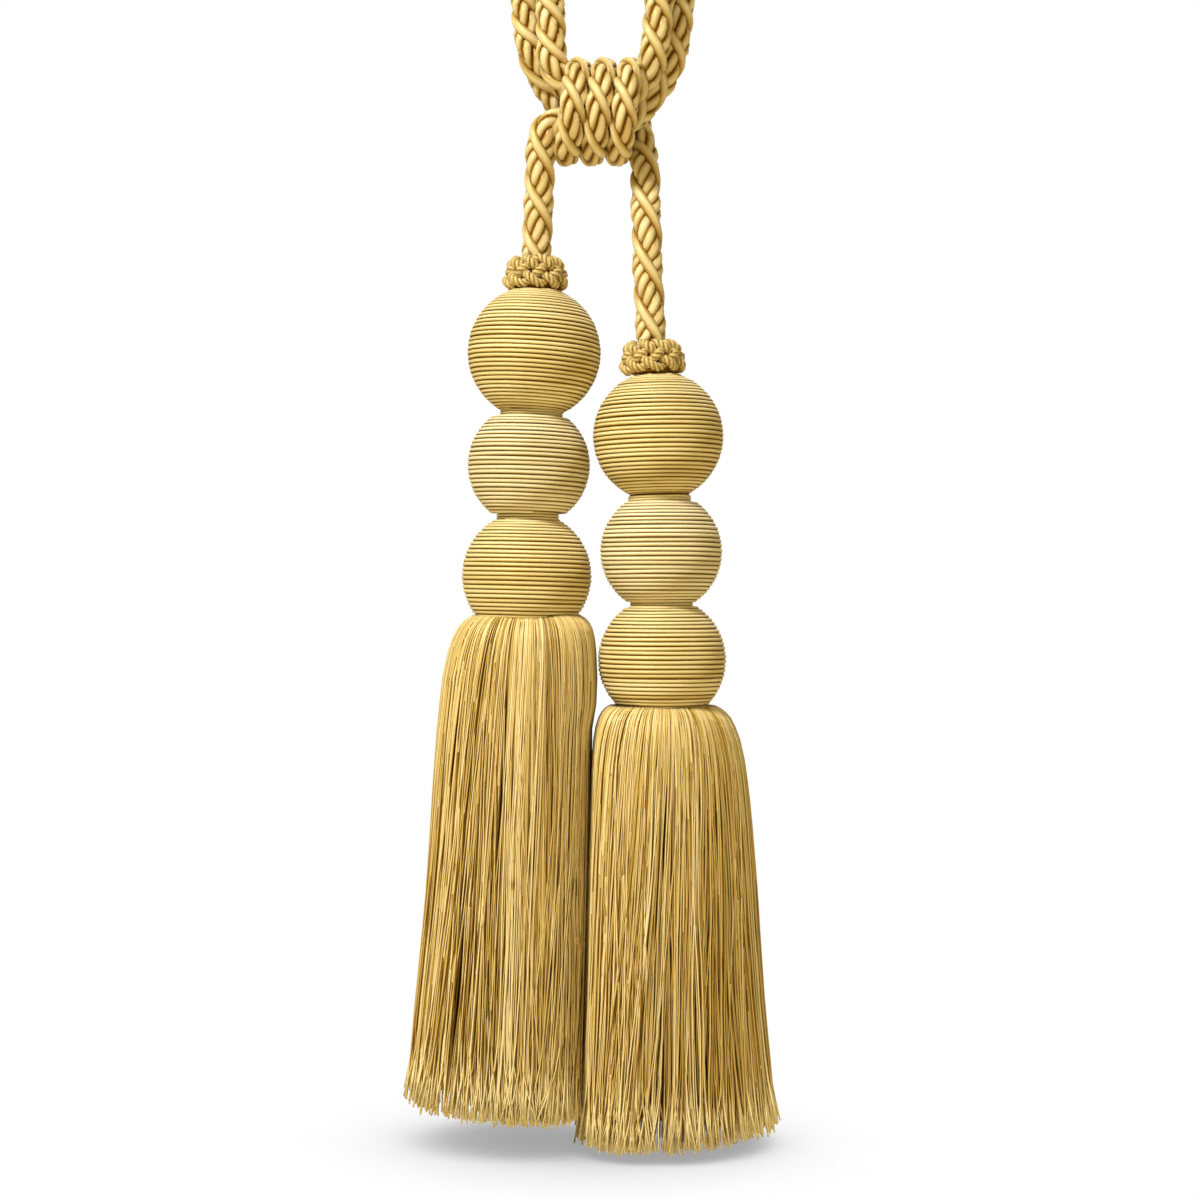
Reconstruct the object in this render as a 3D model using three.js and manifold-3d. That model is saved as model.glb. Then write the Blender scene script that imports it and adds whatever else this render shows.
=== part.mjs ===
// Curtain tieback: one thick rope tied in a barrel knot, two bights that hang on a hook,
// and a tassel of three wound balls and a fringe skirt on each of its two ends.
// Millimetres, +Z up, +X to the right, the front faces -Y.
// The origin is where a hook carries the two bights, under the rope at the top.

import * as THREE from 'three';
import { mergeVertices } from 'three/addons/utils/BufferGeometryUtils.js';
import Module from 'manifold-3d';

// Rope
const ropeRadius = 5.0;
const ropeLobes = 4; // strands round the rope
const ropeLobeDepth = 0.75; // groove between two strands
const ropeSides = 8;
const firstTurn = 0.25; // where the strands start at the left tassel

// Loops and knot
const knotDrop = 277; // hook to the middle of the knot
const eyeRadius = 19; // bend of the rope over the hook
const eyeOffset = 6.5; // the left bight hangs in front of the right one
const wrapRadius = 13; // centreline of the three wraps
const wrapPitch = 8.5;
const wrapCount = 3;
const wrapSquash = 0.82; // the wraps press each other flat
const wrapStart = -13.05; // where the wraps begin, at the back left
const coreRadius = 8.8; // the runs through the wraps are squeezed into one round bundle
const coreLength = 23;
const coreSides = 16;
const pieceGap = 0.3;

// Tassels, top down. drop: below the middle of the knot; x, y: axis of each piece
const tassels = {
  left: {
    outward: -1,
    collar: { x: -21.6, y: 2.5, drop: 47.6, height: 11.6 },
    balls: [
      { name: 'ball_top', x: -22.0, y: 2.5, drop: 80.0, radius: 22.3, above: 20.5, below: 19.4 },
      { name: 'ball_middle', x: -23.8, y: 2.5, drop: 117.6, radius: 20.5, above: 15.6, below: 15.6 },
      { name: 'ball_bottom', x: -24.5, y: 2.5, drop: 154.6, radius: 21.7, above: 18.6, below: 13.2 },
    ],
    skirtLength: 163.5,
  },
  right: {
    outward: 1,
    collar: { x: 17.6, y: -2.5, drop: 76.3, height: 11.4 },
    balls: [
      { name: 'ball_top', x: 19.3, y: -2.5, drop: 108.3, radius: 21.7, above: 20.3, below: 19.8 },
      { name: 'ball_middle', x: 20.3, y: -2.5, drop: 146.6, radius: 20.3, above: 16.0, below: 16.2 },
      { name: 'ball_bottom', x: 20.6, y: -2.5, drop: 182.6, radius: 21.3, above: 17.3, below: 15.3 },
    ],
    skirtLength: 141.5,
  },
};
const neckNames = ['neck_upper', 'neck_lower'];
const neckRadius = 10.3;
const neckCordRadius = 1.1; // each neck is two turns of this cord
const ballSegments = 18;
const ballRows = 8;

// Collar: rows of small knots
const collarRows = 4;
const collarKnots = 9;
const collarTopRadius = 7.6;
const collarRadius = 10.1;
const collarKnotDepth = 0.8;
const collarRipple = 0.35; // from a row of knots to the groove beside it

// Skirt. Distance of the outer surface from the axis, at each drop below the last ball
const skirtProfile = [
  { drop: 0, reach: 18.6 },
  { drop: 4, reach: 22.6 },
  { drop: 12, reach: 26.0 },
  { drop: 35, reach: 29.4 },
  { drop: 75, reach: 31.8 },
  { drop: 110, reach: 34.8 },
  { drop: 135, reach: 37.6 },
  { drop: 165, reach: 39.6 },
];
const skirtDepthShare = 0.84; // front to back, as a share of the reach
const skirtFlatness = 3.2; // how square the pressed side is
const skirtHeadHeight = 9; // root of the fringe, where its yarns are sewn together
const skirtHeadInset = 0.4; // the locks stand proud of the head
const skirtHeadRows = [0, 0.45, 1];
const skirtHeadSides = 24;
// The skirts press each other along this line. drop: below the middle of the knot
const contactLine = [
  { drop: 165, x: -0.9 },
  { drop: 195, x: -1.3 },
  { drop: 206, x: -3.0 },
  { drop: 300, x: -5.0 },
  { drop: 342, x: -6.2 },
];
const lockRings = [
  { share: 1.0, count: 32, depthShare: 0.2 },
  { share: 0.68, count: 18, depthShare: 0.2 },
  { share: 0.34, count: 8, depthShare: 0.2 },
];
const lockUnevenness = 2.2; // the shortest lock ends this much above the longest
const lockFill = 0.84; // width of a lock as a share of its place in the ring
const lockStops = [0.03, 0.12, 0.3, 0.62, 1]; // where a lock bends, as shares of its length
const contactClearance = 0.5;

// Colours and finishes
const satinGold = { color: 0xd8b25c, roughness: 0.42, metalness: 0.0 };
const woundGold = { color: 0xcfaa58, roughness: 0.62, metalness: 0.0 };
const woundPale = { color: 0xdcc083, roughness: 0.66, metalness: 0.0 };
const fringeGold = { color: 0xc49f50, roughness: 0.5, metalness: 0.0 };

const wasm = await Module();
wasm.setup();

// Routes of the rope, measured from the middle of the knot
const leftOuterRun = [
  [-22.6, 4.5, 20], [-24.0, 4.2, 27], [-25.0, 3.8, 37], [-25.8, 3.2, 60],
  [-26.2, 1.0, 100], [-25.2, -4.0, 150], [-22.5, -6.3, 190], [-20.0, -6.5, 225],
];
const leftInnerRun = [
  [12.0, -6.5, 225], [3.0, -6.5, 203], [-6.0, -6.3, 180], [-12.0, -5.5, 155],
  [-15.6, -4.7, 130], [-17.1, -4.3, 100], [-17.0, -4.0, 60], [-16.6, -3.9, 37],
  [-16.3, -3.9, 27], [-16.1, -3.9, 20],
];
const rightOuterRun = [
  [24.3, 6.9, 20], [25.6, 6.3, 27], [26.8, 5.4, 37], [27.3, 5.0, 60],
  [27.4, 5.6, 100], [26.0, 6.5, 150], [23.0, 6.5, 190], [20.0, 6.5, 225],
];
const rightInnerRun = [
  [-12.0, 6.5, 225], [-3.0, 6.5, 203], [6.0, 6.3, 180], [12.5, 4.6, 155],
  [17.0, 1.0, 130], [19.4, -2.6, 100], [20.0, -3.6, 60], [19.8, -3.4, 37],
  [18.9, -2.8, 27], [18.1, -1.8, 20],
];
const lowerCoreRun = [
  [-19.4, -0.5, -10], [-17.4, -0.8, -5.2], [-12, -1, -3.4], [0, -1, -3.6], [7.5, 0.6, -3.0],
  [12.6, 3.4, 0.8], [16.8, 5.8, 6.6], [20.8, 7.2, 12.4], [24.3, 6.9, 20],
];
const upperCoreRun = [
  [18.1, -1.8, 20], [16.4, 0.6, 14.2], [13.8, 1.8, 9.6], [10, 1.6, 6.2], [5, 0.9, 4.6],
  [0, 0.4, 4.4], [-5, -0.4, 5.2], [-9.8, -1.6, 7.4], [-13.4, -3.0, 11], [-15.4, -3.7, 15.4],
  [-16.1, -3.9, 20],
];
const leftTailRun = [
  [-21.3, 2.5, -47.3], [-20.9, 2.2, -39], [-20.5, 1.5, -30], [-20.1, 0.5, -22],
  [-19.9, -0.2, -15], [-19.4, -0.5, -10],
];
const rightTailRun = [
  [14.6, 8.0, -13], [15.1, 5.0, -19], [15.2, 3.0, -26], [15.3, 1.2, -34],
  [15.7, 0.0, -42], [15.9, -1.0, -55], [16.5, -1.8, -64], [16.9, -2.5, -76.0],
];
const wrapLeadIn = [[-22.6, 4.5, 20], [-20.2, 6.8, 14.6], [-16.9, 9.6, 9.4], [-13.7, 12, 4.2]];
const wrapLeadOut = [[13.6, 11.2, -7.4], [14.6, 8.0, -13]];

// The bend over the hook, from the outer run to the inner one
function eyeRun(outward, y) {
  const points = [];
  for (const degrees of [0, 30, 60, 90, 120, 150, 180]) {
    const angle = THREE.MathUtils.degToRad(degrees);
    points.push([
      outward * eyeRadius * Math.cos(angle),
      y,
      knotDrop + ropeRadius - eyeRadius + eyeRadius * Math.sin(angle),
    ]);
  }
  return points;
}

// The three wraps, with the run that leads out of them
function wrapRun() {
  const points = [wrapLeadIn[wrapLeadIn.length - 1]];
  const stepsPerTurn = 12;
  for (let i = 0; i <= wrapCount * stepsPerTurn; i++) {
    const angle = (2 * Math.PI * i) / stepsPerTurn;
    points.push([
      wrapStart + (wrapPitch * i) / stepsPerTurn,
      wrapRadius * Math.cos(angle),
      -wrapRadius * Math.sin(angle),
    ]);
  }
  return [...points, ...wrapLeadOut];
}

// The whole rope in order, from the left tassel to the right one. A run starts where the last ends
// lay: length in which the strands make one full turn
const rightLoopRun = [...rightOuterRun, ...eyeRun(1, eyeOffset), ...rightInnerRun];
const leftLoopRun = [...leftOuterRun, ...eyeRun(-1, -eyeOffset), ...leftInnerRun].reverse();
const ropeRuns = [
  { name: 'tail_left', lay: 34, points: leftTailRun },
  { name: 'lower_core', lay: 26.6, points: lowerCoreRun },
  { name: 'loop_right', lay: 27.27, points: rightLoopRun },
  { name: 'upper_core', lay: 27.14, points: upperCoreRun },
  { name: 'loop_left', lay: 27.3, points: leftLoopRun },
  { name: 'lead_in', lay: 37, points: wrapLeadIn },
  { name: 'wraps', lay: 26.3, points: wrapRun() },
  { name: 'tail_right', lay: 40, points: rightTailRun },
];

// One smooth curve through all the runs, with the length along it at which each run starts and ends
function layRope() {
  const places = [];
  const marks = {};
  for (const run of ropeRuns) {
    const first = Math.max(0, places.length - 1);
    const fresh = places.length > 0 ? run.points.slice(1) : run.points;
    for (const [x, y, z] of fresh) places.push(new THREE.Vector3(x, y, z - knotDrop));
    marks[run.name] = [first, places.length - 1];
  }
  const curve = new THREE.CatmullRomCurve3(places, false, 'centripetal');
  const divisionsPerPoint = 24;
  curve.arcLengthDivisions = (places.length - 1) * divisionsPerPoint;
  const lengths = curve.getLengths();
  for (const name of Object.keys(marks)) {
    marks[name] = marks[name].map((mark) => lengths[mark * divisionsPerPoint]);
  }
  return { curve, marks, length: curve.getLength() };
}

const rope = layRope();

// Turns of the strands up to a length along the rope
function turnsAt(along) {
  let turns = firstTurn;
  for (const { name, lay } of ropeRuns) {
    const [from, to] = rope.marks[name];
    turns += Math.max(0, Math.min(along, to) - from) / lay;
  }
  return turns;
}

// Directions across the rope that turn with its bends and no more, at even stations along it
const stationStep = 1;
const ropeFrames = [];
for (let along = 0; along <= rope.length; along += stationStep) {
  const tangent = rope.curve.getTangentAt(along / rope.length);
  const before = ropeFrames[ropeFrames.length - 1] ?? new THREE.Vector3(1, 0, 0);
  ropeFrames.push(before.clone().addScaledVector(tangent, -before.dot(tangent)).normalize());
}

// A closed stretch of the rope: a lobed section that turns with the lay of the strands
function ropeGeometry(firstRun, lastRun, trim, squashAt = () => 1) {
  const from = rope.marks[firstRun][0] + trim;
  const to = rope.marks[lastRun][1] - trim;
  // The section turns by one corner from ring to ring
  const corners = (turnsAt(to) - turnsAt(from)) * ropeSides;
  const ringCount = Math.max(3, Math.round(corners)) + 1;
  const vertices = [];
  const indices = [];
  for (let ring = 0; ring < ringCount; ring++) {
    const along = from + ((to - from) * ring) / (ringCount - 1);
    const centre = rope.curve.getPointAt(along / rope.length);
    const tangent = rope.curve.getTangentAt(along / rope.length);
    const side = ropeFrames[Math.min(ropeFrames.length - 1, Math.round(along / stationStep))].clone();
    side.addScaledVector(tangent, -side.dot(tangent)).normalize();
    const across = new THREE.Vector3().crossVectors(tangent, side);
    const squash = squashAt(centre);
    for (let i = 0; i < ropeSides; i++) {
      const angle = 2 * Math.PI * (i / ropeSides - turnsAt(along));
      const onLobe = i % (ropeSides / ropeLobes) === 0;
      const radius = onLobe ? ropeRadius : ropeRadius - ropeLobeDepth;
      const offset = new THREE.Vector3()
        .addScaledVector(side, radius * Math.cos(angle))
        .addScaledVector(across, radius * Math.sin(angle));
      offset.x *= squash;
      vertices.push(centre.x + offset.x, centre.y + offset.y, centre.z + offset.z);
    }
  }
  const last = ringCount - 1;
  for (let ring = 0; ring < last; ring++) {
    for (let i = 0; i < ropeSides; i++) {
      const a = ring * ropeSides + i;
      const b = ring * ropeSides + ((i + 1) % ropeSides);
      indices.push(a, b, b + ropeSides, a, b + ropeSides, a + ropeSides);
    }
  }
  for (let i = 1; i < ropeSides - 1; i++) {
    indices.push(0, i + 1, i);
    indices.push(last * ropeSides, last * ropeSides + i, last * ropeSides + i + 1);
  }
  return meshGeometry(vertices, indices);
}

function meshGeometry(vertices, indices) {
  const geometry = new THREE.BufferGeometry();
  geometry.setAttribute('position', new THREE.Float32BufferAttribute(vertices, 3));
  geometry.setIndex(indices);
  return geometry;
}

// Boolean joins
function solidOf(geometry) {
  geometry.deleteAttribute('normal');
  geometry.deleteAttribute('uv');
  const merged = mergeVertices(geometry, 1e-4);
  return new wasm.Manifold(new wasm.Mesh({
    numProp: 3,
    vertProperties: new Float32Array(merged.attributes.position.array),
    triVerts: new Uint32Array(merged.index.array),
  }));
}

function joined(geometries) {
  let solid = solidOf(geometries[0]);
  for (const geometry of geometries.slice(1)) solid = solid.add(solidOf(geometry));
  const mesh = solid.getMesh();
  return meshGeometry(mesh.vertProperties, Array.from(mesh.triVerts));
}

function piece(name, geometry, finish) {
  geometry.computeVertexNormals();
  const mesh = new THREE.Mesh(geometry, new THREE.MeshStandardMaterial(finish));
  mesh.name = name;
  return mesh;
}

// A solid of revolution about a vertical axis. rows: [radius, z], from the bottom up
function turned(rows, segments) {
  const profile = rows.map(([radius, z]) => new THREE.Vector2(radius, z));
  const geometry = new THREE.LatheGeometry(profile, segments);
  geometry.rotateX(Math.PI / 2);
  return geometry;
}

// A ball is wound on a mould that is cut flat above and below
function ballGeometry(ball) {
  const low = -Math.asin(ball.below / ball.radius);
  const high = Math.asin(ball.above / ball.radius);
  const rows = [[0, -ball.below]];
  for (let i = 0; i <= ballRows; i++) {
    const angle = low + ((high - low) * i) / ballRows;
    rows.push([ball.radius * Math.cos(angle), ball.radius * Math.sin(angle)]);
  }
  rows.push([0, ball.above]);
  return turned(rows, ballSegments);
}

// A neck: two turns of cord that fill the space between two balls
function neckGeometry(height) {
  const half = height / 2;
  const waist = neckRadius - neckCordRadius;
  return turned([
    [0, -half], [waist, -half], [neckRadius, -half / 2], [waist + neckCordRadius / 3, 0],
    [neckRadius, half / 2], [waist, half], [0, half],
  ], ballSegments);
}

// The collar: rows of small knots, each row turned by half a knot
function collarGeometry(height) {
  const rows = [[0, 0]];
  for (let i = 0; i <= collarRows * 2; i++) {
    const share = i / (collarRows * 2);
    const spread = Math.sqrt(Math.max(0, 1 - share ** 3));
    const ripple = i % 2 === 1 ? collarRipple : -collarRipple;
    rows.push([collarTopRadius + (collarRadius - collarTopRadius) * spread + ripple, share * height]);
  }
  rows.push([0, height]);
  const geometry = turned(rows, collarKnots * 3);
  const position = geometry.attributes.position;
  for (let i = 0; i < position.count; i++) {
    const x = position.getX(i);
    const y = position.getY(i);
    const radius = Math.hypot(x, y);
    if (radius < 1) continue;
    const row = Math.floor((position.getZ(i) / height) * collarRows);
    const wave = Math.cos(collarKnots * Math.atan2(y, x) + Math.PI * (row % 2));
    const share = (radius + (collarKnotDepth * wave) / 2) / radius;
    position.setXY(i, x * share, y * share);
  }
  return geometry;
}

// Value of a table's column at a drop, between the rows beside it
function valueAt(table, column, drop) {
  const last = table.length - 1;
  if (drop >= table[last].drop) return table[last][column];
  const next = Math.max(1, table.findIndex((row) => row.drop > drop));
  const a = table[next - 1];
  const b = table[next];
  return a[column] + ((b[column] - a[column]) * (drop - a.drop)) / (b.drop - a.drop);
}

// Distance from the axis to the skirt's surface. Angle 0 points away from the other tassel
function skirtRadius(drop, angle, ball) {
  const reach = valueAt(skirtProfile, 'reach', drop);
  const depth = reach * skirtDepthShare;
  const along = Math.abs(Math.cos(angle));
  const across = Math.abs(Math.sin(angle));
  const pressed = Math.cos(angle) < 0;
  const contact = valueAt(contactLine, 'x', ball.drop + ball.below + drop);
  const width = pressed ? Math.min(reach, Math.abs(contact - ball.x) - contactClearance) : reach;
  const power = pressed ? skirtFlatness : 2;
  return ((along / width) ** power + (across / depth) ** power) ** (-1 / power);
}

// One lock: a three-sided strand that tapers from its root to the cut end
function lockGeometry(tassel, ball, ring, index) {
  const slot = (2 * Math.PI) / ring.count;
  const angle = slot * (index + 0.5);
  const vertices = [];
  const indices = [];
  const goldenTurn = 2.4; // spreads the long and short locks evenly round the skirt
  const length = tassel.skirtLength - lockUnevenness * Math.abs(Math.sin(index * goldenTurn));
  const corners = [
    { turn: -0.5 * lockFill * slot, inset: 0 },
    { turn: 0.5 * lockFill * slot, inset: 0 },
    { turn: 0, inset: ring.depthShare },
  ];
  for (const stop of lockStops) {
    const drop = stop * length;
    for (const corner of corners) {
      const around = angle + corner.turn;
      const radius = skirtRadius(drop, around, ball) * (ring.share - corner.inset);
      vertices.push(
        ball.x + tassel.outward * radius * Math.cos(around),
        ball.y + radius * Math.sin(around),
        -knotDrop - ball.drop - ball.below - pieceGap - drop,
      );
    }
  }
  const sides = corners.length;
  const last = lockStops.length - 1;
  for (let stop = 0; stop < last; stop++) {
    for (let i = 0; i < sides; i++) {
      const a = stop * sides + i;
      const b = stop * sides + ((i + 1) % sides);
      indices.push(a, b, b + sides, a, b + sides, a + sides);
    }
  }
  indices.push(0, 2, 1, last * sides, last * sides + 1, last * sides + 2);
  if (tassel.outward > 0) {
    for (let i = 0; i < indices.length; i += 3) {
      [indices[i + 1], indices[i + 2]] = [indices[i + 2], indices[i + 1]];
    }
  }
  return meshGeometry(vertices, indices);
}

// The skirt: a head of sewn yarn roots with the locks hanging from it
function skirtGeometry(tassel, ball) {
  const top = -knotDrop - ball.drop - ball.below - pieceGap;
  const vertices = [];
  const indices = [];
  const around = skirtHeadSides;
  for (const share of skirtHeadRows) {
    const drop = share * skirtHeadHeight;
    for (let i = 0; i < around; i++) {
      const angle = (2 * Math.PI * i) / around;
      const radius = skirtRadius(drop, angle, ball) - skirtHeadInset;
      vertices.push(
        ball.x + tassel.outward * radius * Math.cos(angle),
        ball.y + radius * Math.sin(angle),
        top - drop,
      );
    }
  }
  const topCentre = vertices.length / 3;
  vertices.push(ball.x, ball.y, top, ball.x, ball.y, top - skirtHeadHeight);
  for (let row = 0; row < skirtHeadRows.length - 1; row++) {
    for (let i = 0; i < around; i++) {
      const a = row * around + i;
      const b = row * around + ((i + 1) % around);
      indices.push(a, a + around, b + around, a, b + around, b);
    }
  }
  const lowest = (skirtHeadRows.length - 1) * around;
  for (let i = 0; i < around; i++) {
    const next = (i + 1) % around;
    indices.push(topCentre, i, next);
    indices.push(topCentre + 1, lowest + next, lowest + i);
  }
  if (tassel.outward < 0) {
    for (let i = 0; i < indices.length; i += 3) {
      [indices[i + 1], indices[i + 2]] = [indices[i + 2], indices[i + 1]];
    }
  }
  const locks = [meshGeometry(vertices, indices)];
  for (const ring of lockRings) {
    for (let i = 0; i < ring.count; i++) {
      locks.push(lockGeometry(tassel, ball, ring, i));
    }
  }
  return joined(locks);
}

function buildTassel(name, tassel) {
  const group = new THREE.Group();
  const collar = piece(`collar_${name}`, collarGeometry(tassel.collar.height), satinGold);
  collar.position.set(
    tassel.collar.x,
    tassel.collar.y,
    -knotDrop - tassel.collar.drop - tassel.collar.height,
  );
  group.add(collar);
  tassel.balls.forEach((ball, i) => {
    const finish = i === 1 ? woundPale : woundGold;
    const mesh = piece(`${ball.name}_${name}`, ballGeometry(ball), finish);
    mesh.position.set(ball.x, ball.y, -knotDrop - ball.drop);
    group.add(mesh);
    if (i === 0) return;
    const above = tassel.balls[i - 1];
    const bottomAbove = above.drop + above.below;
    const topBelow = ball.drop - ball.above;
    const height = topBelow - bottomAbove - 2 * pieceGap;
    const neck = piece(`${neckNames[i - 1]}_${name}`, neckGeometry(height), satinGold);
    neck.position.set((above.x + ball.x) / 2, ball.y, -knotDrop - (bottomAbove + topBelow) / 2);
    group.add(neck);
  });
  const lastBall = tassel.balls[tassel.balls.length - 1];
  group.add(piece(`skirt_${name}`, skirtGeometry(tassel, lastBall), fringeGold));
  return group;
}

function buildKnot() {
  const insideWraps = (centre) => (Math.abs(centre.x) < -wrapStart ? wrapSquash : 1);
  const bundle = new THREE.CylinderGeometry(coreRadius, coreRadius, coreLength, coreSides);
  bundle.rotateZ(Math.PI / 2);
  bundle.translate(0, 0, -knotDrop);
  return joined([
    bundle,
    ropeGeometry('lead_in', 'wraps', 0, insideWraps),
    ropeGeometry('lower_core', 'lower_core', 0),
    ropeGeometry('upper_core', 'upper_core', 0),
  ]);
}

const tieback = new THREE.Group();
tieback.add(piece('knot', buildKnot(), satinGold));
for (const name of ['tail_left', 'tail_right', 'loop_left', 'loop_right']) {
  tieback.add(piece(name, ropeGeometry(name, name, pieceGap), satinGold));
}
for (const [name, tassel] of Object.entries(tassels)) tieback.add(buildTassel(name, tassel));

export default tieback;
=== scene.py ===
import math

import bpy
import numpy as np
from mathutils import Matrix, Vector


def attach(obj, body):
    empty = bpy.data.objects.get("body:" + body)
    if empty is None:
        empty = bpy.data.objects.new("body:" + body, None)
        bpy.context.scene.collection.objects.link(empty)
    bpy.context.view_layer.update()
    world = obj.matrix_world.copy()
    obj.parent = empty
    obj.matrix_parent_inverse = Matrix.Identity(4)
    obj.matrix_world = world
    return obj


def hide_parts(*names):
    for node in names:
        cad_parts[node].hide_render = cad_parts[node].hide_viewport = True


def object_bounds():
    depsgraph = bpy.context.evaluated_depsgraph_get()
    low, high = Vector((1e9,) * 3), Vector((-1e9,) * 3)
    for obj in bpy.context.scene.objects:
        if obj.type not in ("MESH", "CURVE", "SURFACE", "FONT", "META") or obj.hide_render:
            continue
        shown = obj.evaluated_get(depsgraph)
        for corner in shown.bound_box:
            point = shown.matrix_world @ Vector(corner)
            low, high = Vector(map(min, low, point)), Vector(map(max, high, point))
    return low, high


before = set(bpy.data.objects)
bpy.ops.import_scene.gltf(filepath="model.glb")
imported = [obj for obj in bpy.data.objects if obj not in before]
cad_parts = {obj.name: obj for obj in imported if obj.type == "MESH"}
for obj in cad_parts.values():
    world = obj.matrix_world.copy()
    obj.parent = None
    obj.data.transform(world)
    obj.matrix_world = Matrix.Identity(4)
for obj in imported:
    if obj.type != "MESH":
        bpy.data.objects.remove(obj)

# Curtain tieback: a thick laid rope in a barrel knot, and two tassels of wound balls and fringe.
# Metres, +Z up, the front faces -Y. The routes and the tassels' places are those of the frame.
mm = 0.001
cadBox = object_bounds()
rng = np.random.default_rng(7)

knotDrop = 277.0    # hook to the middle of the knot, mm
imageScale = 3.0    # pixels of the 1200 pixel view to one mm, at the object
fibreScale = 0.1    # the fibres' coordinate for each mm along a strand
leastLength = 1e-9    # keeps a vector without length from being divided by zero
print("frame loaded:", len(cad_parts), "nodes")


# Camera: level, straight on, at the height of the view's middle
view = {
    "pixels": 1200, "distance": 0.75, "sensor": 36.0, "near": 0.01, "far": 20.0,
    "knotRow": 112,    # the row of pixels at the height of the knot's middle
}


def makeCamera():
    width = view["pixels"] / imageScale * mm
    middle = (-knotDrop + (view["knotRow"] - view["pixels"] / 2) / imageScale) * mm
    data = bpy.data.cameras.new("camera")
    data.sensor_width = view["sensor"]
    data.lens = view["sensor"] * view["distance"] / width
    data.clip_start = view["near"]
    data.clip_end = view["far"]
    camera = bpy.data.objects.new("camera", data)
    camera.location = (0.0, -view["distance"], middle)
    camera.rotation_euler = (math.radians(90), 0.0, 0.0)
    bpy.context.scene.collection.objects.link(camera)
    bpy.context.scene.camera = camera


makeCamera()
print("camera placed")


# Mesh helpers
class Bundle:
    # Collects the tubes and surfaces that one piece is made of
    def __init__(self):
        self.points, self.quads, self.triangles, self.uv, self.tones = [], [], [], [], []
        self.count = 0

    def add(self, points, quads, triangles, uv, tones):
        # points: n by 3 in mm. uv: one pair a point. tones: one number a point
        self.points.append(points)
        self.quads.append(quads + self.count)
        self.triangles.append(triangles + self.count)
        self.uv.append(uv)
        self.tones.append(tones)
        self.count += len(points)

    def piece(self, name, material):
        points, uv, tones = [np.concatenate(rows) for rows in (self.points, self.uv, self.tones)]
        quads, triangles = np.concatenate(self.quads), np.concatenate(self.triangles)
        corners = np.concatenate([quads.ravel(), triangles.ravel()]).astype(np.int32)
        counts = np.concatenate([np.full(len(quads), 4), np.full(len(triangles), 3)])
        starts = np.concatenate([[0], np.cumsum(counts)[:-1]])
        mesh = bpy.data.meshes.new(name)
        mesh.vertices.add(len(points))
        mesh.vertices.foreach_set("co", (points * mm).astype(np.float32).ravel())
        mesh.loops.add(len(corners))
        mesh.loops.foreach_set("vertex_index", corners)
        mesh.polygons.add(len(counts))
        mesh.polygons.foreach_set("loop_start", starts.astype(np.int32))
        mesh.polygons.foreach_set("use_smooth", np.ones(len(counts), dtype=bool))
        layer = mesh.uv_layers.new(name="along")
        layer.data.foreach_set("uv", uv[corners].astype(np.float32).ravel())
        # The tone holds each surface's own tone with painted shade and painted light worked into it
        attribute = mesh.attributes.new("tone", "FLOAT", "POINT")
        attribute.data.foreach_set("value", tones.astype(np.float32))
        mesh.update(calc_edges=True)
        mesh.validate()
        piece = bpy.data.objects.new(name, mesh)
        bpy.context.scene.collection.objects.link(piece)
        mesh.materials.append(material)
        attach(piece, "root")
        return piece


def gridFaces(rings, sides, flip=False):
    # Quads of a closed tube, and the fans that cap its two ends
    ring = np.arange(rings - 1)[:, None] * sides
    a = ring + np.arange(sides)[None, :]
    b = ring + (np.arange(sides)[None, :] + 1) % sides
    quads = np.stack([a, b, b + sides, a + sides], axis=-1).reshape(-1, 4)
    fan = np.arange(1, sides - 1)
    first = np.stack([np.zeros_like(fan), fan + 1, fan], axis=-1)
    last = np.stack([np.zeros_like(fan), fan, fan + 1], axis=-1) + (rings - 1) * sides
    triangles = np.concatenate([first, last])
    if flip:
        quads = quads[:, ::-1]
        triangles = triangles[:, ::-1]
    return quads, triangles


def unit(vectors):
    return vectors / np.maximum(np.linalg.norm(vectors, axis=-1, keepdims=True), leastLength)


def sweep(bundle, centres, outward, radius, sides, tone, flatten=1.0, shade=0.0, paintedLightAngle=0.0):
    # A tube along centres. outward: a direction at each centre that the tube's first side faces
    # shade: painted shade, how much darker the tone is painted on the side turned away from the
    # painted light line; lightest: that line's angle round the tube
    tangent = unit(np.gradient(centres, axis=0))
    first = unit(outward - (outward * tangent).sum(1, keepdims=True) * tangent)
    second = np.cross(tangent, first)
    angle = 2 * np.pi * np.arange(sides) / sides
    radius = np.broadcast_to(np.asarray(radius, dtype=float), (len(centres),))
    ring = (
        np.cos(angle)[None, :, None] * first[:, None, :] * flatten
        + np.sin(angle)[None, :, None] * second[:, None, :]
    )
    points = centres[:, None, :] + ring * radius[:, None, None]
    along = np.concatenate([[0], np.cumsum(np.linalg.norm(np.diff(centres, axis=0), axis=1))])
    around = np.abs(np.linspace(-1, 1, sides, endpoint=False))
    uv = np.stack(
        [
            np.broadcast_to(around[None, :], (len(centres), sides)),
            np.broadcast_to(along[:, None] * fibreScale, (len(centres), sides)),
        ],
        axis=-1,
    )
    quads, triangles = gridFaces(len(centres), sides)
    tones = np.broadcast_to(np.asarray(tone, dtype=float), (len(centres),))
    # Painted shade: the tone is painted darker away from the painted light line, standing in for the
    # shade in the grooves between cords
    fall = shade * (1 - np.cos(angle - paintedLightAngle)) / 2
    tones = tones[:, None] - fall[None, :]
    bundle.add(points.reshape(-1, 3), quads, triangles, uv.reshape(-1, 2), tones.ravel())


def wander(count, spacing, size):
    # A smooth random line of count steps, with a new value every spacing steps and some to spare
    knots = max(4, int(count / spacing) + 3)
    values = rng.normal(0, size, knots)
    place = np.arange(count) / spacing
    low = place.astype(int)
    share = place - low
    share = share * share * (3 - 2 * share)
    return values[low] * (1 - share) + values[low + 1] * share


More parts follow.
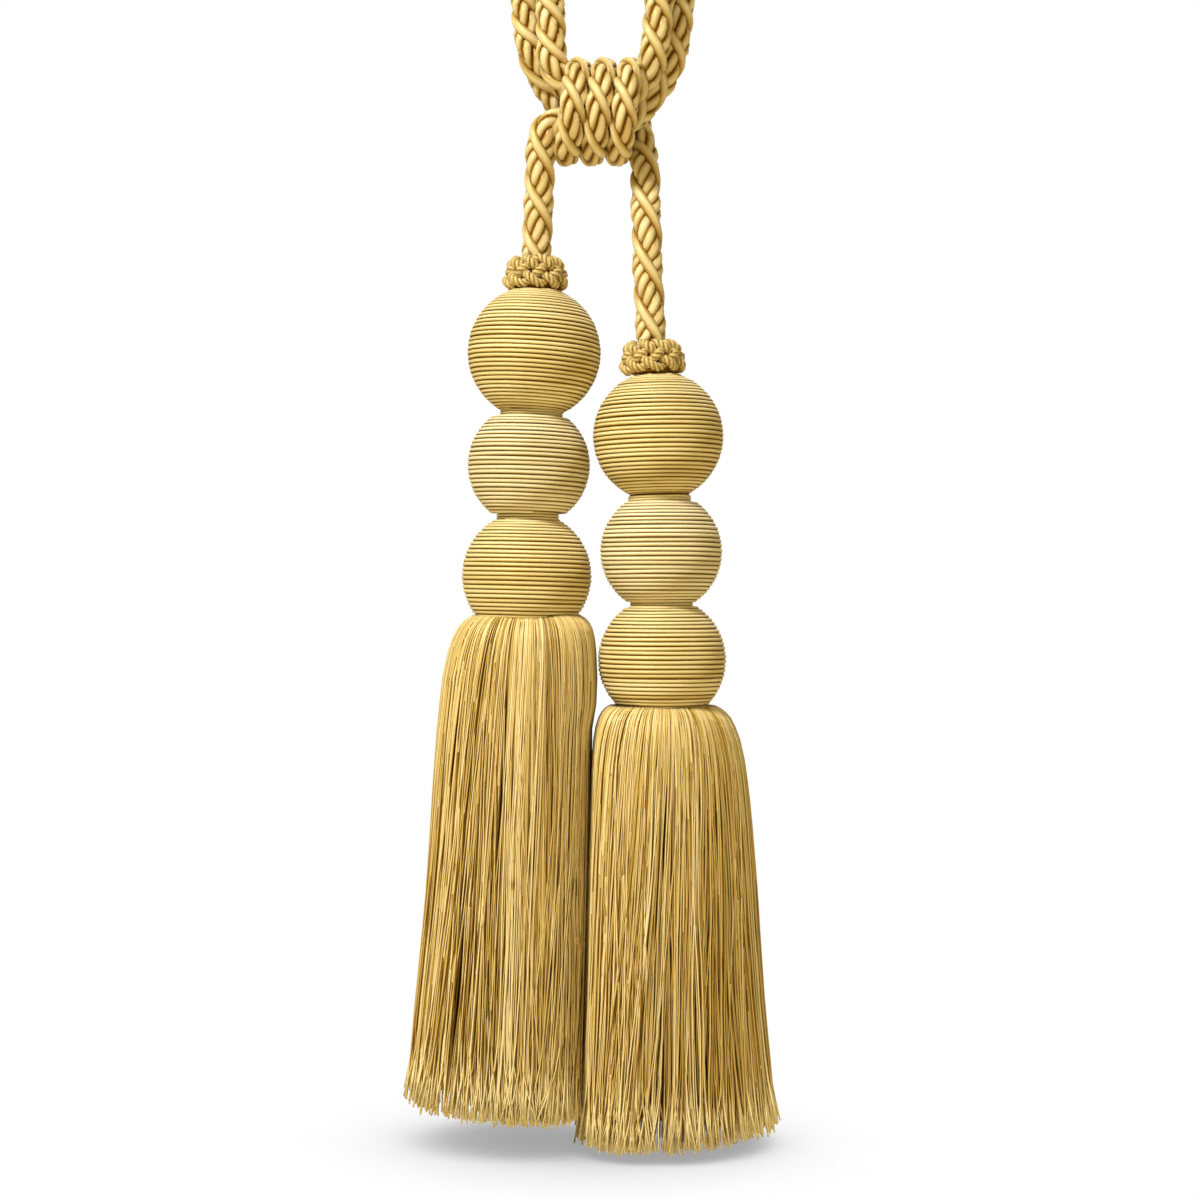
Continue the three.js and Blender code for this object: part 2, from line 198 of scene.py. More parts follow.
# Materials
def nodeTree(name):
    material = bpy.data.materials.new(name)
    material.use_nodes = True
    tree = material.node_tree
    shader = tree.nodes["Principled BSDF"]
    return material, tree, shader


def link(tree, source, target):
    tree.links.new(source, target)


# What the yarns of all the finishes share
yarnLook = {
    "fibreSize": 3.0, "fibreDetail": 3.0, "patchDetail": 2.0,
    "smoother": 0.08, "rougher": 0.1,    # how far the fibres change the roughness
    "bumpDepth": 0.0002,
    "specularTint": (1.0, 0.82, 0.45, 1.0),
    "sheenRoughness": 0.4, "sheenTint": (1.0, 0.86, 0.55, 1.0),
}


def yarnMaterial(name, look):
    # Lustrous yarn: fine fibres along each strand, and broad patches of slightly uneven tone
    material, tree, shader = nodeTree(name)
    nodes = tree.nodes
    uvNode = nodes.new("ShaderNodeUVMap")
    uvNode.uv_map = "along"
    stretch = nodes.new("ShaderNodeMapping")
    stretch.inputs["Scale"].default_value = (look["fibresAround"], look["fibresAlong"], 1.0)
    link(tree, uvNode.outputs["UV"], stretch.inputs["Vector"])
    fibres = nodes.new("ShaderNodeTexNoise")
    fibres.inputs["Scale"].default_value = yarnLook["fibreSize"]
    fibres.inputs["Detail"].default_value = yarnLook["fibreDetail"]
    link(tree, stretch.outputs["Vector"], fibres.inputs["Vector"])

    place = nodes.new("ShaderNodeTexCoord")
    patches = nodes.new("ShaderNodeTexNoise")
    patches.inputs["Scale"].default_value = look["patchScale"]
    patches.inputs["Detail"].default_value = yarnLook["patchDetail"]
    link(tree, place.outputs["Object"], patches.inputs["Vector"])

    # The tone attribute carries painted shade and painted light as well as the yarn's own tone
    tone = nodes.new("ShaderNodeAttribute")
    tone.attribute_name = "tone"
    ramp = nodes.new("ShaderNodeValToRGB")
    ramp.color_ramp.elements[0].position = 0.0
    ramp.color_ramp.elements[0].color = (*look["dark"], 1.0)
    ramp.color_ramp.elements[1].position = 1.0
    ramp.color_ramp.elements[1].color = (*look["light"], 1.0)
    middle = ramp.color_ramp.elements.new(0.5)
    middle.color = (*look["middle"], 1.0)

    value = tone.outputs["Fac"]
    for noise, size in ((fibres, look["fibreTone"]), (patches, look["patchTone"])):
        part = nodes.new("ShaderNodeMath")
        part.operation = "MULTIPLY_ADD"
        part.inputs[1].default_value = size
        link(tree, noise.outputs["Fac"], part.inputs[0])
        link(tree, value, part.inputs[2])
        value = part.outputs["Value"]
    # Half of what the two add is taken off again, so that the tone stays where it was
    settle = nodes.new("ShaderNodeMath")
    settle.operation = "SUBTRACT"
    settle.inputs[1].default_value = 0.5 * (look["fibreTone"] + look["patchTone"])
    settle.use_clamp = True
    link(tree, value, settle.inputs[0])
    link(tree, settle.outputs["Value"], ramp.inputs["Fac"])
    link(tree, ramp.outputs["Color"], shader.inputs["Base Color"])

    rough = nodes.new("ShaderNodeMapRange")
    rough.inputs["To Min"].default_value = look["roughness"] - yarnLook["smoother"]
    rough.inputs["To Max"].default_value = look["roughness"] + yarnLook["rougher"]
    link(tree, fibres.outputs["Fac"], rough.inputs["Value"])
    link(tree, rough.outputs["Result"], shader.inputs["Roughness"])

    bump = nodes.new("ShaderNodeBump")
    bump.inputs["Strength"].default_value = look["bump"]
    bump.inputs["Distance"].default_value = yarnLook["bumpDepth"]
    link(tree, fibres.outputs["Fac"], bump.inputs["Height"])
    link(tree, bump.outputs["Normal"], shader.inputs["Normal"])
    shader.inputs["Specular IOR Level"].default_value = look["specular"]
    shader.inputs["Specular Tint"].default_value = yarnLook["specularTint"]
    shader.inputs["Sheen Weight"].default_value = look["sheen"]
    shader.inputs["Sheen Roughness"].default_value = yarnLook["sheenRoughness"]
    shader.inputs["Sheen Tint"].default_value = yarnLook["sheenTint"]
    return material


ropeFinish = {
    "dark": (0.24, 0.1, 0.002), "middle": (0.59, 0.44, 0.145), "light": (0.92, 0.8, 0.47),
    "fibresAround": 7.0, "fibresAlong": 0.5, "fibreTone": 0.3,
    "patchScale": 60.0, "patchTone": 0.2, "roughness": 0.36, "bump": 0.3,
    "specular": 0.6, "sheen": 0.08,
}
collarFinish = dict(ropeFinish, roughness=0.4, fibresAround=4.0)
goldFinish = {
    "dark": (0.17, 0.075, 0.001), "middle": (0.47, 0.33, 0.06), "light": (0.88, 0.76, 0.4),
    "fibresAround": 3.0, "fibresAlong": 5.0, "fibreTone": 0.2,
    "patchScale": 70.0, "patchTone": 0.2, "roughness": 0.45, "bump": 0.2,
    "specular": 0.4, "sheen": 0.05,
}
paleFinish = dict(
    goldFinish, dark=(0.17, 0.09, 0.006), middle=(0.52, 0.4, 0.15), light=(0.92, 0.83, 0.54),
)
fringeFinish = {
    "dark": (0.24, 0.1, 0.002), "middle": (0.64, 0.43, 0.085), "light": (0.98, 0.85, 0.46),
    "fibresAround": 4.0, "fibresAlong": 0.3, "fibreTone": 0.14,
    "patchScale": 30.0, "patchTone": 0.1, "roughness": 0.36, "bump": 0.25,
    "specular": 0.7, "sheen": 0.08,
}
ropeMaterial = yarnMaterial("rope_satin", ropeFinish)
collarMaterial = yarnMaterial("collar_cord", collarFinish)
goldMaterial = yarnMaterial("wound_gold", goldFinish)
paleMaterial = yarnMaterial("wound_pale", paleFinish)
fringeMaterial = yarnMaterial("fringe_yarn", fringeFinish)
print("materials made")


# Rope: two smooth satin strands laid with two twisted ones, each of three fat plies
ropeLook = {
    "diameter": 10.5,
    "smoothRadius": 1.85, "smoothOffset": 3.3, "smoothSides": 12, "smoothTone": 0.78,
    # The twisted strands' dark cores are painted shade between their plies
    "twistedOffset": 2.1, "twistedCore": 1.0, "twistedCoreShadeTone": 0.1,
    "plies": 3, "plyRadius": 1.75, "plyOffset": 1.75, "plyLay": 9.4, "plySides": 9,
    "plyTone": 0.84, "plyToneStep": 0.08, "plyFlatten": 0.82,
    "shade": 2.1,            # painted shade: the grooves between strands and plies are painted darker
    "coreRadius": 2.4, "coreShadeTone": 0.0,    # a dark core, painted shade, shows in the deepest gaps
    "coreSides": 8,
    "tuck": 1.6,             # each piece runs on under the next one by this much
    "endSlim": 0.12,         # and is this much thinner there, as a share
    "firstTurn": 0.25,       # where the strands start at the left tassel
    "knotStep": 0.8, "loopStep": 1.5, "frameStep": 0.5,    # mm from station to station
    "curveSteps": 24,        # steps from one route point to the next
}
# Route points in mm from the middle of the knot, as in the frame
leftOuterRun = [
    (-22.6, 4.5, 20), (-24.0, 4.2, 27), (-25.0, 3.8, 37), (-25.8, 3.2, 60),
    (-26.2, 1.0, 100), (-25.2, -4.0, 150), (-22.5, -6.3, 190), (-20.0, -6.5, 225),
]
leftInnerRun = [
    (12.0, -6.5, 225), (3.0, -6.5, 203), (-6.0, -6.3, 180), (-12.0, -5.5, 155),
    (-15.6, -4.7, 130), (-17.1, -4.3, 100), (-17.0, -4.0, 60), (-16.6, -3.9, 37),
    (-16.3, -3.9, 27), (-16.1, -3.9, 20),
]
rightOuterRun = [
    (24.3, 6.9, 20), (25.6, 6.3, 27), (26.8, 5.4, 37), (27.3, 5.0, 60),
    (27.4, 5.6, 100), (26.0, 6.5, 150), (23.0, 6.5, 190), (20.0, 6.5, 225),
]
rightInnerRun = [
    (-12.0, 6.5, 225), (-3.0, 6.5, 203), (6.0, 6.3, 180), (12.5, 4.6, 155),
    (17.0, 1.0, 130), (19.4, -2.6, 100), (20.0, -3.6, 60), (19.8, -3.4, 37),
    (18.9, -2.8, 27), (18.1, -1.8, 20),
]
lowerCoreRun = [
    (-19.4, -0.5, -10), (-17.4, -0.8, -5.2), (-12, -1, -3.4), (0, -1, -3.6), (7.5, 0.6, -3.0),
    (12.6, 3.4, 0.8), (16.8, 5.8, 6.6), (20.8, 7.2, 12.4), (24.3, 6.9, 20),
]
upperCoreRun = [
    (18.1, -1.8, 20), (16.4, 0.6, 14.2), (13.8, 1.8, 9.6), (10, 1.6, 6.2), (5, 0.9, 4.6),
    (0, 0.4, 4.4), (-5, -0.4, 5.2), (-9.8, -1.6, 7.4), (-13.4, -3.0, 11), (-15.4, -3.7, 15.4),
    (-16.1, -3.9, 20),
]
leftTailRun = [
    (-21.3, 2.5, -47.3), (-20.9, 2.2, -39), (-20.5, 1.5, -30), (-20.1, 0.5, -22),
    (-19.9, -0.2, -15), (-19.4, -0.5, -10),
]
rightTailRun = [
    (14.6, 8.0, -13), (15.1, 5.0, -19), (15.2, 3.0, -26), (15.3, 1.2, -34),
    (15.7, 0.0, -42), (15.9, -1.0, -55), (16.5, -1.8, -64), (16.9, -2.5, -76.0),
]
wrapLeadIn = [(-22.6, 4.5, 20), (-20.2, 6.8, 14.6), (-16.9, 9.6, 9.4), (-13.7, 12, 4.2)]
wrapLeadOut = [(13.6, 11.2, -7.4), (14.6, 8.0, -13)]
knotLook = {
    "eyeRadius": 19.0, "eyeOffset": 6.5, "ropeRadius": 5.0,
    "wrapRadius": 13.0, "wrapPitch": 8.5, "wrapCount": 3, "wrapStart": -13.05, "wrapSteps": 12,
    "wrapSquash": 0.9,       # the wraps press each other flat
    "squashFade": 3.0,       # the squash fades over this length at the barrel's two ends, mm
    # The fill form's dark tone is painted shade between the wraps
    "fillRadius": 8.3, "fillEnd": 10.8, "fillStations": 5, "fillSides": 24, "fillShadeTone": 0.2,
}


def eyeRun(outward, y):
    radius = knotLook["eyeRadius"]
    top = knotDrop + knotLook["ropeRadius"] - radius
    angles = [math.radians(a) for a in range(0, 181, 30)]
    return [(outward * radius * math.cos(a), y, top + radius * math.sin(a)) for a in angles]


def wrapRun():
    points = [wrapLeadIn[-1]]
    steps = knotLook["wrapSteps"]
    for i in range(knotLook["wrapCount"] * steps + 1):
        angle = 2 * math.pi * i / steps
        points.append((
            knotLook["wrapStart"] + knotLook["wrapPitch"] * i / steps,
            knotLook["wrapRadius"] * math.cos(angle),
            -knotLook["wrapRadius"] * math.sin(angle),
        ))
    return points + wrapLeadOut


def ropeRuns():
    # Name, length of one full turn of the strands, and points of each run
    eye = knotLook["eyeOffset"]
    leftLoop = leftOuterRun + eyeRun(-1, -eye) + leftInnerRun
    rightLoop = rightOuterRun + eyeRun(1, eye) + rightInnerRun
    return [
        ("tail_left", 34, leftTailRun),
        ("lower_core", 26.6, lowerCoreRun),
        ("loop_right", 27.27, rightLoop),
        ("upper_core", 27.14, upperCoreRun),
        ("loop_left", 27.3, leftLoop[::-1]),
        ("lead_in", 37, wrapLeadIn),
        ("wraps", 26.3, wrapRun()),
        ("tail_right", 40, rightTailRun),
    ]


def smoothCurve(points, steps):
    # Centripetal curve through the points, with steps stations to each stretch
    points = np.asarray(points, dtype=float)
    before = 2 * points[0] - points[1]
    after = 2 * points[-1] - points[-2]
    full = np.vstack([before, points, after])
    share = np.arange(steps)[:, None] / steps
    stations = []
    for i in range(len(points) - 1):
        p0, p1, p2, p3 = full[i:i + 4]
        d0, d1, d2 = [np.linalg.norm(b - a) ** 0.5 for a, b in ((p0, p1), (p1, p2), (p2, p3))]
        t1 = ((p1 - p0) / d0 - (p2 - p0) / (d0 + d1) + (p2 - p1) / d1) * d1
        t2 = ((p2 - p1) / d1 - (p3 - p1) / (d1 + d2) + (p3 - p2) / d2) * d1
        cubic = 2 * p1 - 2 * p2 + t1 + t2
        square = -3 * p1 + 3 * p2 - 2 * t1 - t2
        stations.append(p1 + share * t1 + share ** 2 * square + share ** 3 * cubic)
    return np.vstack(stations + [points[-1:]])


def layRope():
    # The whole rope as one line of stations, and how far along it each run starts and ends
    points, marks = [], {}
    for name, _, run in ropeRuns():
        first = max(0, len(points) - 1)
        points += run[1:] if points else run
        marks[name] = (first, len(points) - 1)
    steps = ropeLook["curveSteps"]
    fine = smoothCurve(points, steps)
    along = np.concatenate([[0], np.cumsum(np.linalg.norm(np.diff(fine, axis=0), axis=1))])
    lengths = {name: (along[a * steps], along[b * steps]) for name, (a, b) in marks.items()}
    return fine, along, lengths


ropeFine, ropeAlong, ropeMarks = layRope()


def ropeStations(at):
    centres = np.stack([np.interp(at, ropeAlong, ropeFine[:, k]) for k in range(3)], axis=1)
    # Past its two ends the rope runs straight on
    for end, beside in ((0, 1), (-1, -2)):
        past = at - ropeAlong[end]
        past = np.minimum(past, 0) if end == 0 else np.maximum(past, 0)
        way = (ropeFine[end] - ropeFine[beside]) / (ropeAlong[end] - ropeAlong[beside])
        centres += past[:, None] * way
    centres[:, 2] -= knotDrop
    return centres


def turnsAt(at):
    turns = np.full(len(at), ropeLook["firstTurn"])
    for name, lay, _ in ropeRuns():
        start, end = ropeMarks[name]
        turns += np.clip(at - start, 0, end - start) / lay
    return turns


def ropeFrames():
    # A direction across the rope that turns with its bends and no more, at even steps
    at = np.arange(0, ropeAlong[-1], ropeLook["frameStep"])
    tangents = unit(np.gradient(ropeStations(at), axis=0))
    sides = np.zeros_like(tangents)
    side = np.array([1.0, 0.0, 0.0])
    for i, tangent in enumerate(tangents):
        side = side - side.dot(tangent) * tangent
        side /= np.linalg.norm(side)
        sides[i] = side
    return at, sides


frameAt, frameSides = ropeFrames()


def ropeStretch(bundle, names, step, squash=1.0):
    # The strands of the rope from the first named run to the last one. Returns the centreline
    look = ropeLook
    start, end = ropeMarks[names[0]][0] - look["tuck"], ropeMarks[names[-1]][1] + look["tuck"]
    count = int(round((end - start) / step)) + 1
    at = np.linspace(start, end, count)
    centres = ropeStations(at)
    tangent = unit(np.gradient(centres, axis=0))
    side = np.stack([np.interp(at, frameAt, frameSides[:, k]) for k in range(3)], axis=1)
    side = unit(side - (side * tangent).sum(1, keepdims=True) * tangent)
    across = np.cross(tangent, side)
    nearEnd = np.clip(1 - np.minimum(at - start, end - at) / (2 * look["tuck"]), 0, 1)
    slim = 1 - look["endSlim"] * nearEnd
    turns = 2 * np.pi * turnsAt(at)
    first = len(bundle.points)
    # Four strands a quarter turn apart, smooth and twisted ones by turns
    for strand in range(4):
        turn = strand * np.pi / 2 - turns
        out = np.cos(turn)[:, None] * side + np.sin(turn)[:, None] * across
        if strand % 2 == 0:
            line = centres + out * look["smoothOffset"]
            sweep(
                bundle, line, out, look["smoothRadius"] * slim, look["smoothSides"],
                look["smoothTone"], shade=look["shade"],
            )
            continue
        strandLine = centres + out * look["twistedOffset"]
        strandTangent = unit(np.gradient(strandLine, axis=0))
        out = unit(out - (out * strandTangent).sum(1, keepdims=True) * strandTangent)
        beside = np.cross(strandTangent, out)
        # The strand's dark core: painted shade between the plies
        sweep(
            bundle, strandLine, out, look["twistedCore"] * slim, look["coreSides"],
            look["twistedCoreShadeTone"],
        )
        for ply in range(look["plies"]):
            turn = 2 * np.pi * (at / look["plyLay"] + ply / look["plies"]) + strand
            lean = np.cos(turn)[:, None] * out + np.sin(turn)[:, None] * beside
            line = strandLine + lean * look["plyOffset"]
            tone = look["plyTone"] + look["plyToneStep"] * ((strand + ply) % 3 - 1)
            sweep(
                bundle, line, lean, look["plyRadius"] * slim, look["plySides"],
                tone, flatten=look["plyFlatten"], shade=look["shade"],
            )
    # The rope's dark core: painted shade in the deepest gaps
    sweep(bundle, centres, side, look["coreRadius"] * slim, look["coreSides"], look["coreShadeTone"])
    if squash != 1.0:
        # Inside the wraps the points are drawn in towards the rope's own line, along X only
        edge, fade = -knotLook["wrapStart"], knotLook["squashFade"]
        inside = np.clip((edge + fade / 2 - np.abs(centres[:, 0])) / fade, 0, 1)
        narrow = 1 - (1 - squash) * inside
        for points in bundle.points[first:]:
            sides = len(points) // count
            middle = np.repeat(centres[:, 0], sides)
            points[:, 0] = middle + (points[:, 0] - middle) * np.repeat(narrow, sides)
    return centres


def makeRope():
    bundle = Bundle()
    ropeStretch(bundle, ["lead_in", "wraps"], ropeLook["knotStep"], knotLook["wrapSquash"])
    ropeStretch(bundle, ["lower_core"], ropeLook["knotStep"])
    ropeStretch(bundle, ["upper_core"], ropeLook["knotStep"])
    # The wraps are drawn tight, so a form between them and the ropes inside closes the last gaps; its
    # dark tone is painted shade
    look = knotLook
    places = np.linspace(-look["fillEnd"], look["fillEnd"], look["fillStations"])
    middle = np.array([(x, 0.0, -knotDrop) for x in places])
    across = np.tile([0.0, 0.0, 1.0], (len(middle), 1))
    sweep(bundle, middle, across, look["fillRadius"], look["fillSides"], look["fillShadeTone"])
    knot = bundle.piece("knot_strands", ropeMaterial)
    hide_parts("knot")
    for name in ("tail_left", "tail_right"):
        bundle = Bundle()
        ropeStretch(bundle, [name], ropeLook["knotStep"])
        tail = bundle.piece(name + "_strands", ropeMaterial)
        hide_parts(name)
    for name in ("loop_left", "loop_right"):
        bundle = Bundle()
        line = ropeStretch(bundle, [name], ropeLook["loopStep"])
        loop = bundle.piece(name + "_strands", ropeMaterial)
        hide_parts(name)


makeRope()
print("rope laid")


# Tassels, top down. drop: below the middle of the knot, mm. tilt: how far the top leans right
tassels = {
    "left": {
        "outward": -1,
        "collar": {"x": -21.6, "y": 2.5, "drop": 47.6, "height": 11.6, "tilt": 2.0},
        "balls": [
            {"name": "ball_top", "x": -22.0, "y": 2.5, "drop": 80.0, "radius": 22.3,
             "above": 20.5, "below": 19.4, "tilt": 2.8},
            {"name": "ball_middle", "x": -23.8, "y": 2.5, "drop": 117.6, "radius": 20.5,
             "above": 15.6, "below": 15.6, "tilt": 1.4},
            {"name": "ball_bottom", "x": -24.5, "y": 2.5, "drop": 154.6, "radius": 21.7,
             "above": 18.6, "below": 13.2, "tilt": 0.6},
        ],
        "skirtLength": 163.5,
    },
    "right": {
        "outward": 1,
        "collar": {"x": 17.6, "y": -2.5, "drop": 76.3, "height": 11.4, "tilt": -2.0},
        "balls": [
            {"name": "ball_top", "x": 19.3, "y": -2.5, "drop": 108.3, "radius": 21.7,
             "above": 20.3, "below": 19.8, "tilt": -1.6},
            {"name": "ball_middle", "x": 20.3, "y": -2.5, "drop": 146.6, "radius": 20.3,
             "above": 16.0, "below": 16.2, "tilt": -0.8},
            {"name": "ball_bottom", "x": 20.6, "y": -2.5, "drop": 182.6, "radius": 21.3,
             "above": 17.3, "below": 15.3, "tilt": -0.6},
        ],
        "skirtLength": 141.5,
    },
}


def placed(points, place, drop):
    # Leans points about their origin, then sets that at the piece's place
    tilt = math.radians(place["tilt"])
    x = points[:, 0] * math.cos(tilt) + points[:, 2] * math.sin(tilt)
    z = points[:, 2] * math.cos(tilt) - points[:, 0] * math.sin(tilt)
    return np.stack([x + place["x"], points[:, 1] + place["y"], z - knotDrop - drop], axis=1)


def turnedForm(bundle, rows, sides, place, drop, tone):
    # A closed form of revolution that fills a piece behind its cords. rows: (radius, z) upwards
    angle = 2 * np.pi * np.arange(sides) / sides
    points = [np.stack([r * np.cos(angle), r * np.sin(angle), np.full(sides, z)], axis=1)
              for r, z in rows]
    quads, triangles = gridFaces(len(rows), sides)
    points = placed(np.concatenate(points), place, drop)
    uv = np.zeros((len(points), 2))
    bundle.add(points, quads, triangles, uv, np.full(len(points), tone))


# Wound balls: one fine cord laid turn beside turn from the top to the bottom
windingLook = {
    "pitch": 1.5, "cordRadius": 0.68, "sides": 8, "stepsPerTurn": 72,
    "flatness": 0.6,
    "startTurn": 6.0,      # the cord starts anywhere up to this angle, radians
    "unevenness": 0.07,    # how far a turn strays up or down, mm
    "depthShare": 0.5,     # how far it strays in and out, as a share of that
    "strayEvery": 17, "depthEvery": 23, "toneEvery": 70,    # steps from one value to the next
    # Each turn is painted darker towards its sides, painted shade, and lightest along a painted light
    # line turned a little towards the top
    "tone": 0.95, "toneSpread": 0.08, "shade": 2.1, "paintedLightAngle": -0.35,
    "paintedTopLight": 0.5,        # painted light: the upper turns are painted paler
    "mouldInset": 0.12,    # from the middle of the cord to the mould
    # The mould is dark, painted shade between the turns
    "mouldRows": 14, "mouldSides": 40, "mouldShadeTone": 0.0,
    "hidden": 1.1,         # the winding runs on past the ball's top and foot by this much, mm
}


def windBall(name, ball, material):
    look = windingLook
    bundle = Bundle()
    thickness = look["cordRadius"] * look["flatness"]
    radius = ball["radius"] - thickness
    low = -math.asin(ball["below"] / ball["radius"]) - look["hidden"] / radius
    high = math.asin(ball["above"] / ball["radius"]) + look["hidden"] / radius
    turns = radius * (high - low) / look["pitch"]
    count = int(turns * look["stepsPerTurn"])
    around = 2 * np.pi * np.arange(count) / look["stepsPerTurn"] + rng.uniform(0, look["startTurn"])
    rise = high - (high - low) * np.arange(count) / (count - 1)
    rise = rise + wander(count, look["strayEvery"], look["unevenness"]) / radius
    reach = radius + wander(count, look["depthEvery"], look["unevenness"] * look["depthShare"])
    line = np.stack([
        reach * np.cos(rise) * np.cos(around),
        reach * np.cos(rise) * np.sin(around),
        reach * np.sin(rise),
    ], axis=1)
    outward = unit(line)
    tone = look["tone"] + wander(count, look["toneEvery"], look["toneSpread"])
    # Painted light: the upper turns are painted paler
    tone = tone + look["paintedTopLight"] * np.sin(np.maximum(rise, 0)) ** 2
    sweep(
        bundle, placed(line, ball, ball["drop"]), outward, look["cordRadius"], look["sides"],
        tone, flatten=look["flatness"], shade=look["shade"], paintedLightAngle=look["paintedLightAngle"],
    )
    # The dark mould inside: painted shade between the turns
    inner = radius - look["mouldInset"]
    angles = np.linspace(low, high, look["mouldRows"])
    rows = [(inner * math.cos(a), inner * math.sin(a)) for a in angles]
    turnedForm(bundle, rows, look["mouldSides"], ball, ball["drop"], look["mouldShadeTone"])
    piece = bundle.piece(name + "_winding", material)
    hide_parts(name)


# Necks: three turns of fine cord between the balls
neckLook = {
    "radius": 10.5, "cordRadius": 0.42, "sides": 8, "turns": 3, "stepsPerTurn": 72,
    "tone": 1.05, "shade": 1.3,
    "inset": 0.6,     # from the neck's radius to the form inside its turns
    "hidden": 0.6,    # that form runs on into the balls by this much
    # The form is dark, painted shade between the turns
    "formSides": 40, "formShadeTone": 0.0,
}


def windNeck(name, above, ball):
    look = neckLook
    bundle = Bundle()
    top = above["drop"] + above["below"]
    bottom = ball["drop"] - ball["above"]
    place = {
        "x": (above["x"] + ball["x"]) / 2, "y": ball["y"],
        "tilt": (above["tilt"] + ball["tilt"]) / 2,
    }
    height = bottom - top
    angle = np.linspace(0, 2 * np.pi, look["stepsPerTurn"] + 1)
    for turn in range(look["turns"]):
        z = height * ((turn + 0.5) / look["turns"] - 0.5)
        reach = look["radius"] - look["cordRadius"]
        line = np.stack([reach * np.cos(angle), reach * np.sin(angle), np.full(len(angle), z)], axis=1)
        outward = unit(line * np.array([1.0, 1.0, 0.0]))
        sweep(
            bundle, placed(line, place, (top + bottom) / 2), outward, look["cordRadius"],
            look["sides"], look["tone"], shade=look["shade"],
        )
    half = height / 2 + look["hidden"]
    inner = look["radius"] - look["inset"]
    rows = [(inner, -half), (inner, half)]
    turnedForm(bundle, rows, look["formSides"], place, (top + bottom) / 2, look["formShadeTone"])
    piece = bundle.piece(name + "_turns", goldMaterial)
    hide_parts(name)


# Collars: a woven band of one twisted cord that runs round four times, over and under itself
collarLook = {
    "leads": 4, "bights": 9,
    "lowRadius": 8.7, "highRadius": 6.4,     # of the cord's line at the foot and at the top
    "margin": 1.5,                           # from the cord's line to the band's edges
    "weave": 1.25,                           # how far the cord rises over a crossing
    "plies": 3, "plyRadius": 0.82, "plyOffset": 0.72, "plyLay": 4.4, "plySides": 6,
    # The cord's dark core is painted shade between its plies
    "coreRadius": 0.7, "coreSides": 8, "coreShadeTone": 0.0,
    "stations": 680, "tone": 0.7, "shade": 1.6,
    "turnBack": 0.94,                        # nearer to 1 the cord turns back in a tighter bend
    "riseEvery": 30, "riseStray": 0.04,      # stations from one stray to the next, and its size
    "depthEvery": 25, "depthStray": 0.1,
    # The form inside, dark as painted shade: its lowest row, then radius and share of the collar's
    # height of each row
    "formFoot": 0.2, "formRows": [(7.1, 0.4), (6.3, 0.7), (4.2, 0.95)],
    "formSides": 36, "formShadeTone": 0.0,
}


def overUnder(phase, leads):
    # 1 where the cord passes over, -1 where it passes under, along cycles of the phase
    step = math.pi / leads
    down = [step * k for k in range(1, leads)]
    up = [2 * math.pi - step * k for k in range(leads - 1, 0, -1)]
    crossings = np.array(down + up)
    cycles = int(phase[-1] / (2 * math.pi)) + 2
    places = np.concatenate([crossings + 2 * math.pi * c for c in range(-1, cycles)])
    return np.cos(math.pi * np.interp(phase, places, np.arange(len(places))))


def weaveCollar(name, collar):
    look = collarLook
    bundle = Bundle()
    phase = np.linspace(0, 2 * math.pi * look["bights"], look["stations"])
    around = phase * look["leads"] / look["bights"]
    half = collar["height"] / 2 - look["margin"]
    rise = np.arcsin(look["turnBack"] * np.cos(phase)) / math.asin(look["turnBack"])
    rise = rise + wander(len(phase), look["riseEvery"], look["riseStray"])
    share = (rise + 1) / 2
    reach = look["lowRadius"] + (look["highRadius"] - look["lowRadius"]) * share ** 2
    reach = reach + look["weave"] * overUnder(phase, look["leads"])
    reach = reach + wander(len(phase), look["depthEvery"], look["depthStray"])
    up = collar["height"] / 2 + half * rise
    line = np.stack([reach * np.cos(around), reach * np.sin(around), up], axis=1)
    tangent = unit(np.gradient(line, axis=0))
    out = np.stack([np.cos(around), np.sin(around), np.zeros(len(phase))], axis=1)
    out = unit(out - (out * tangent).sum(1, keepdims=True) * tangent)
    beside = np.cross(tangent, out)
    length = np.concatenate([[0], np.cumsum(np.linalg.norm(np.diff(line, axis=0), axis=1))])
    foot = collar["drop"] + collar["height"]
    for ply in range(look["plies"]):
        turn = 2 * np.pi * (length / look["plyLay"] + ply / look["plies"])
        lean = np.cos(turn)[:, None] * out + np.sin(turn)[:, None] * beside
        plyLine = placed(line + lean * look["plyOffset"], collar, foot)
        sweep(
            bundle, plyLine, lean, look["plyRadius"], look["plySides"],
            look["tone"], shade=look["shade"],
        )
    # The cord's dark core: painted shade between the plies
    sweep(
        bundle, placed(line, collar, foot), out, look["coreRadius"], look["coreSides"],
        look["coreShadeTone"],
    )
    # The dark form inside: painted shade behind the weave
    rows = [(look["formRows"][0][0], look["formFoot"])]
    rows += [(radius, collar["height"] * share) for radius, share in look["formRows"]]
    turnedForm(bundle, rows, look["formSides"], collar, foot, look["formShadeTone"])
    piece = bundle.piece(name + "_weave", collarMaterial)
    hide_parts(name)


